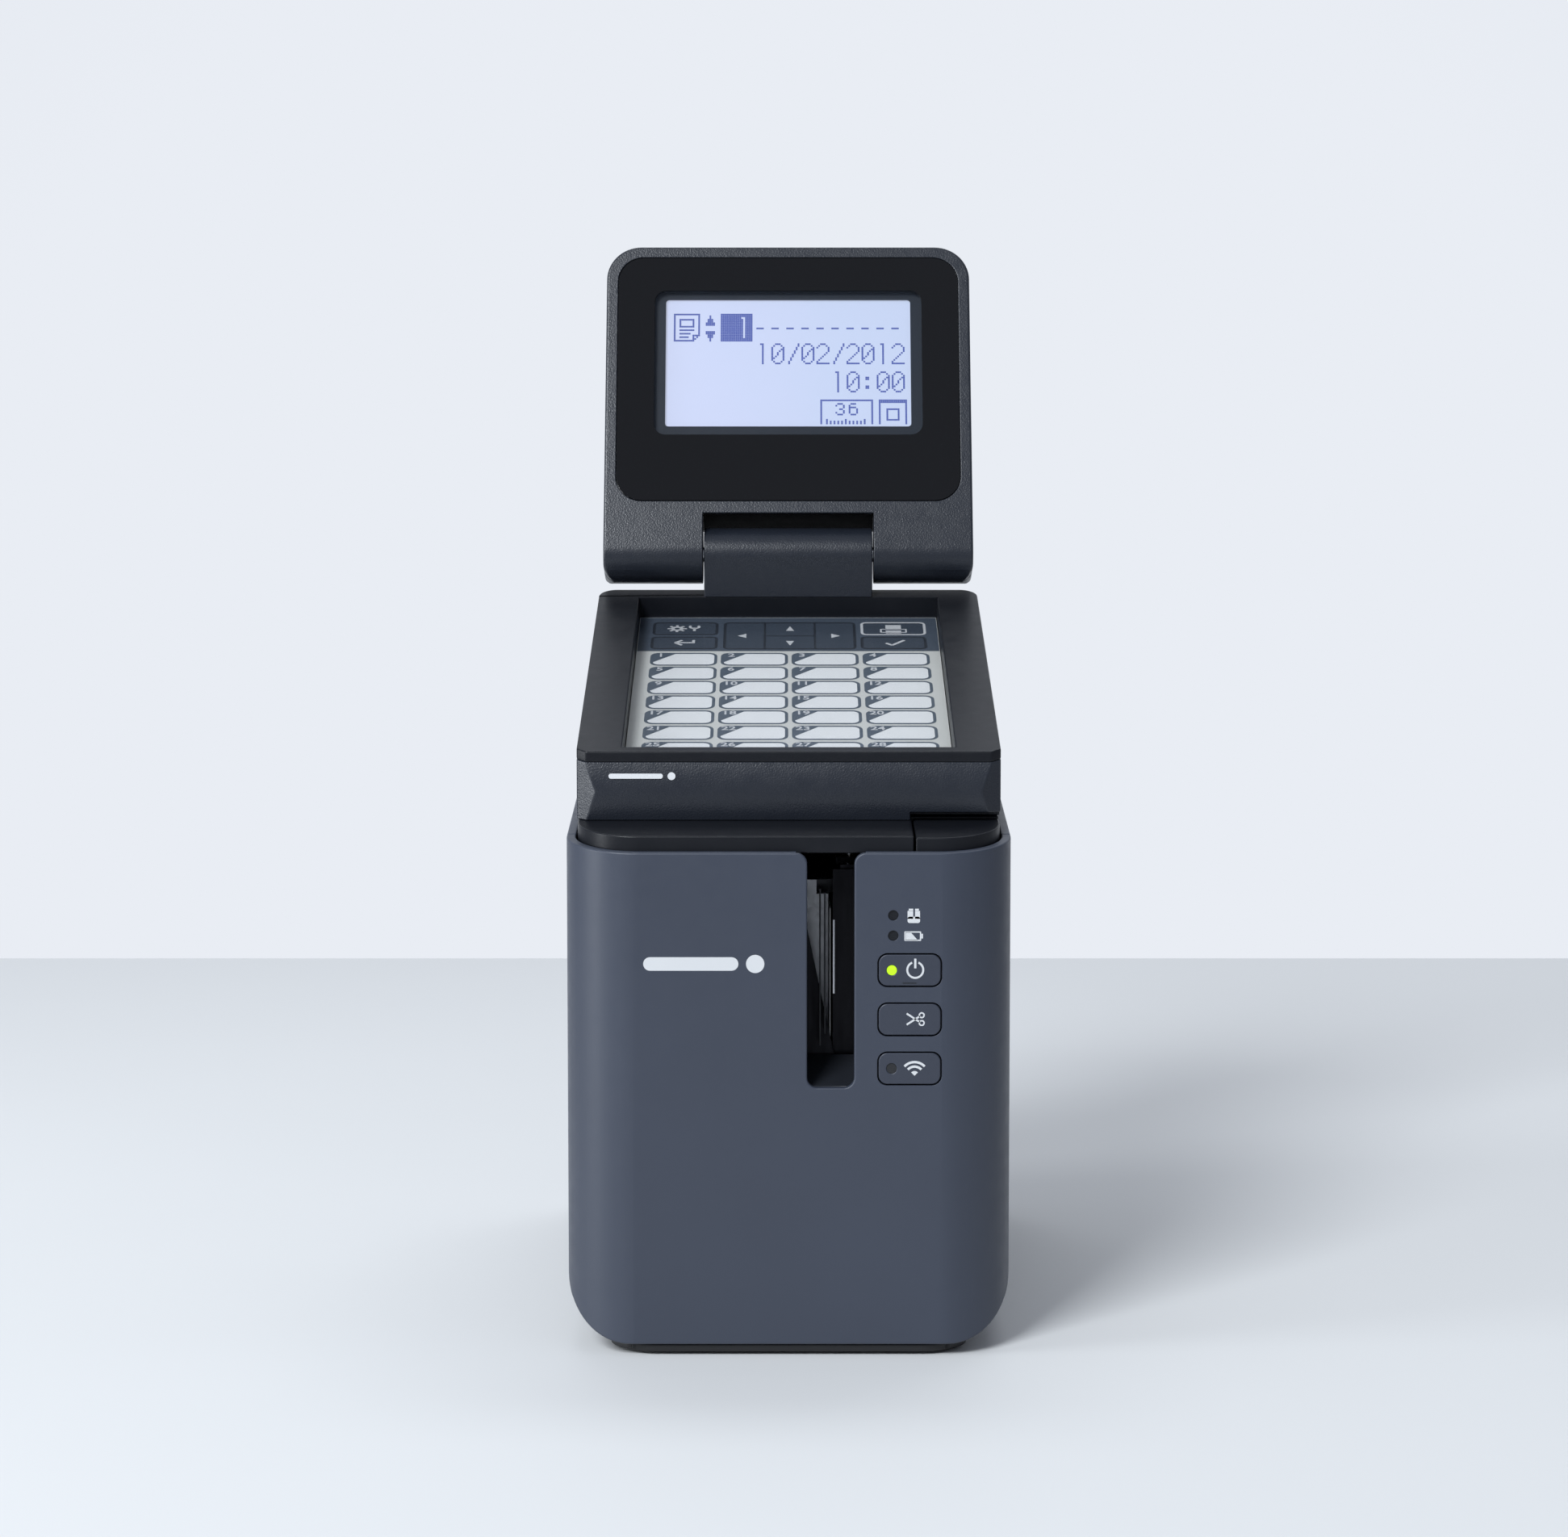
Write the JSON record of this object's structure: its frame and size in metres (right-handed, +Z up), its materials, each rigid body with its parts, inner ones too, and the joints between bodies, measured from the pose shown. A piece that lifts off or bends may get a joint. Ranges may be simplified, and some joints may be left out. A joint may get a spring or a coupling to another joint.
{
  "type": "label maker",
  "caption": "Desktop label maker with a grey shell, a black hinged top cover, a sloping touch-key panel and a fold-up display lid.",
  "frame": {"origin": "on the table under the middle of the printer body", "axes": "+Z up, front face towards -Y, +X to the right seen from the front"},
  "size_m": [0.113, 0.192, 0.2886],
  "materials": {
    "shell": "satin",
    "black": "fine grain",
    "button": "satin",
    "rubber": "matt",
    "clear": "clear gloss",
    "window": "smoked gloss",
    "keys": "printed film",
    "board": "solder mask",
    "steel": "plain",
    "socket": "plated",
    "aluminium": "plain",
    "brass": "plain",
    "nylon": "moulded",
    "cassette": "moulded",
    "tape": "laminated film",
    "lcd": "back-lit",
    "surround": "matt",
    "lit_lens": "lit",
    "dark_lens": "unlit"
  },
  "bodies": {
    "printer": {"front_cover": "shell", "side_shell": "shell", "base_plate": "black", "rubber_feet": "rubber", "bay_frame": "black", "exit_chute": "black", "main_board": "board", "usb_device_socket": "socket", "lan_socket": "socket", "usb_host_socket": "socket", "dc_jack": "black", "panel_board": "board", "tact_switches": "black", "indicator_lenses": "dark_lens", "mech_plate": "steel", "feed_motor": "steel", "cutter_motor": "steel", "cutter_bracket": "steel", "fixed_blade": "steel", "platen_bearings": "brass", "platen_arm": "steel", "head_bracket": "steel", "cassette_case": "cassette", "cassette_lid": "cassette", "label_tape": "tape", "cover_hinge_pins": "steel", "chassis_screws": "steel", "release_spring": "steel"},
    "cover": {"top_cover": "black", "unit_case": "black", "unit_bezel": "black", "touch_sensor": "surround", "key_sheet": "keys", "sheet_cover": "clear", "unit_board": "board", "hinge_block": "black", "lid_hinge_pin": "steel", "unit_screws": "steel"},
    "lid": {"lid_back": "black", "lid_front": "black", "lid_window": "window", "lcd_frame": "surround", "lcd_glass": "lcd", "lid_board": "board", "lid_screws": "steel"},
    "release_key": {"release_button": "black"},
    "power_key": {"power_button": "button", "power_lens": "lit_lens"},
    "cut_key": {"cut_button": "button"},
    "wireless_key": {"wireless_button": "button", "wireless_lens": "dark_lens"},
    "platen": {"platen_shaft": "steel", "platen_rubber": "rubber"},
    "idler": {"idler_gear": "nylon"},
    "pinion": {"motor_pinion": "brass"},
    "ribbon": {"ribbon_spindle": "nylon"},
    "roll": {"tape_roll": "tape"},
    "cutter": {"cutter_lever": "steel"},
    "cutter_drive": {"cutter_pinion": "brass"},
    "head": {"print_head": "aluminium"}
  },
  "joints": [
    {"name": "cover_hinge", "type": "hinge", "parent": "printer", "child": "cover", "pos_m": [0, 0.086, 0.139], "axis": [-1, 0, 0], "range_deg": [0, 72]},
    {"name": "lid_hinge", "type": "hinge", "parent": "cover", "child": "lid", "pos_m": [0, 0.041, 0.1993], "axis": [1, 0, 0], "range_deg": [0, 127.8]},
    {"name": "release_slide", "type": "slide", "parent": "printer", "child": "release_key", "axis": [0, 0, -1], "range_m": [0, 0.0025], "stiffness_N_per_m": 600, "springref_m": -0.002, "deforming": ["release_spring"]},
    {"name": "power_key_slide", "type": "slide", "parent": "printer", "child": "power_key", "axis": [0, 1, 0], "range_m": [0, 0.0008], "stiffness_N_per_m": 900},
    {"name": "cut_key_slide", "type": "slide", "parent": "printer", "child": "cut_key", "axis": [0, 1, 0], "range_m": [0, 0.0008], "stiffness_N_per_m": 900},
    {"name": "wireless_key_slide", "type": "slide", "parent": "printer", "child": "wireless_key", "axis": [0, 1, 0], "range_m": [0, 0.0008], "stiffness_N_per_m": 900},
    {"name": "idler_spin", "type": "hinge", "parent": "printer", "child": "idler", "pos_m": [0.0039, -0.03522, 0.061], "axis": [0, 0, 1], "continuous": true},
    {"name": "platen_spin", "type": "hinge", "parent": "printer", "child": "platen", "pos_m": [0.0159, -0.056, 0.061], "axis": [0, 0, 1], "continuous": true},
    {"name": "pinion_spin", "type": "hinge", "parent": "printer", "child": "pinion", "pos_m": [-0.0169, -0.03522, 0.061], "axis": [0, 0, 1], "continuous": true},
    {"name": "ribbon_spin", "type": "hinge", "parent": "printer", "child": "ribbon", "pos_m": [0.0167, -0.01304, 0.061], "axis": [0, 0, 1], "continuous": true},
    {"name": "roll_spin", "type": "hinge", "parent": "printer", "child": "roll", "pos_m": [-0.017, 0.014, 0.061], "axis": [0, 0, 1], "continuous": true},
    {"name": "cutter_swing", "type": "hinge", "parent": "printer", "child": "cutter", "pos_m": [0.013, -0.075, 0.067], "axis": [0, 1, 0], "range_deg": [0, 12]},
    {"name": "cutter_drive_spin", "type": "hinge", "parent": "printer", "child": "cutter_drive", "pos_m": [0.013, -0.075, 0.0402], "axis": [0, 1, 0], "range_deg": [-55.2, 0]},
    {"name": "head_slide", "type": "slide", "parent": "printer", "child": "head", "axis": [-1, 0, 0], "range_m": [0, 0.003], "stiffness_N_per_m": 1500, "springref_m": -0.001}
  ],
  "couplings": [
    {"joint": "platen_spin", "follows": "idler_spin", "ratio": -2},
    {"joint": "pinion_spin", "follows": "idler_spin", "ratio": -3.3333},
    {"joint": "ribbon_spin", "follows": "idler_spin", "ratio": -1.6667},
    {"joint": "roll_spin", "follows": "idler_spin", "ratio": 0.38461},
    {"joint": "cutter_drive_spin", "follows": "cutter_swing", "ratio": -4.5833}
  ]
}
